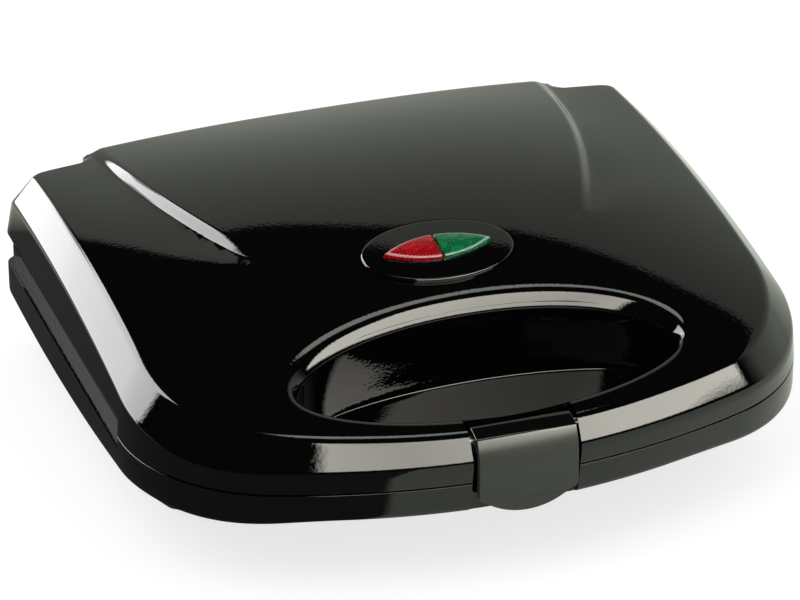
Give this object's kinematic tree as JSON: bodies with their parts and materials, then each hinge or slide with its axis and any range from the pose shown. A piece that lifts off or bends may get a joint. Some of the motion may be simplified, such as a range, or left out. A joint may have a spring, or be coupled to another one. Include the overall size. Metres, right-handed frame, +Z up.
{
  "type": "sandwich toaster",
  "caption": "Countertop sandwich toaster with a domed hinged lid, cast triangular pocket plates, oval finger grip, front latch clip and indicator lenses.",
  "frame": {"origin": "middle of the toaster's bounding box in plan, on the surface that its rubber feet stand on", "axes": "+X along the width, to the right of someone facing the latch; +Y from the latch towards the hinge; +Z up"},
  "size_m": [0.23, 0.2202, 0.0808],
  "materials": {
    "housing": "high gloss black",
    "bezel": "high gloss black",
    "latch": "satin black",
    "plate_coating": "dark non-stick coating on cast aluminium",
    "heater_tube": "oxidised tube",
    "sheet": "plain sheet",
    "steel": "zinc plated",
    "rubber": "matte",
    "inlet_plastic": "matte black",
    "pale_plastic": "matte off-white",
    "thermostat_body": "ceramic",
    "fuse_body": "glass fibre sleeve",
    "red_lens": "clear red plastic",
    "green_lens": "clear green plastic",
    "lamp_glass": "clear glass"
  },
  "bodies": {
    "base": {"base_shell": "housing", "lower_plate": "plate_coating", "lower_heater": "heater_tube", "lower_reflector": "sheet", "lower_screw_front": "steel", "lower_screw_rear": "steel", "foot_1": "rubber", "foot_2": "rubber", "foot_3": "rubber", "foot_4": "rubber", "cord_gland": "inlet_plastic", "cord_clamp": "inlet_plastic", "clamp_screw_left": "steel", "clamp_screw_right": "steel", "terminal_block": "pale_plastic", "thermostat": "thermostat_body", "thermal_fuse": "fuse_body", "hinge_pin_left": "steel", "hinge_pin_right": "steel"},
    "lid": {"lid_shell": "housing", "upper_plate": "plate_coating", "upper_heater": "heater_tube", "upper_reflector": "sheet", "upper_screw_front": "steel", "upper_screw_rear": "steel", "indicator_bezel": "bezel", "red_lens": "red_lens", "green_lens": "green_lens", "red_lamp": "lamp_glass", "green_lamp": "lamp_glass", "lamp_holder": "pale_plastic", "latch_pin": "steel"},
    "latch": {"latch_clip": "latch"}
  },
  "joints": [
    {"name": "lid_hinge", "type": "hinge", "parent": "base", "child": "lid", "pos_m": [0, 0.1059, 0.039], "axis": [-1, 0, 0], "range_deg": [0, 105]},
    {"name": "latch_pivot", "type": "hinge", "parent": "lid", "child": "latch", "pos_m": [0, -0.1018, 0.0502], "axis": [-1, 0, 0], "range_deg": [0, 70]}
  ]
}
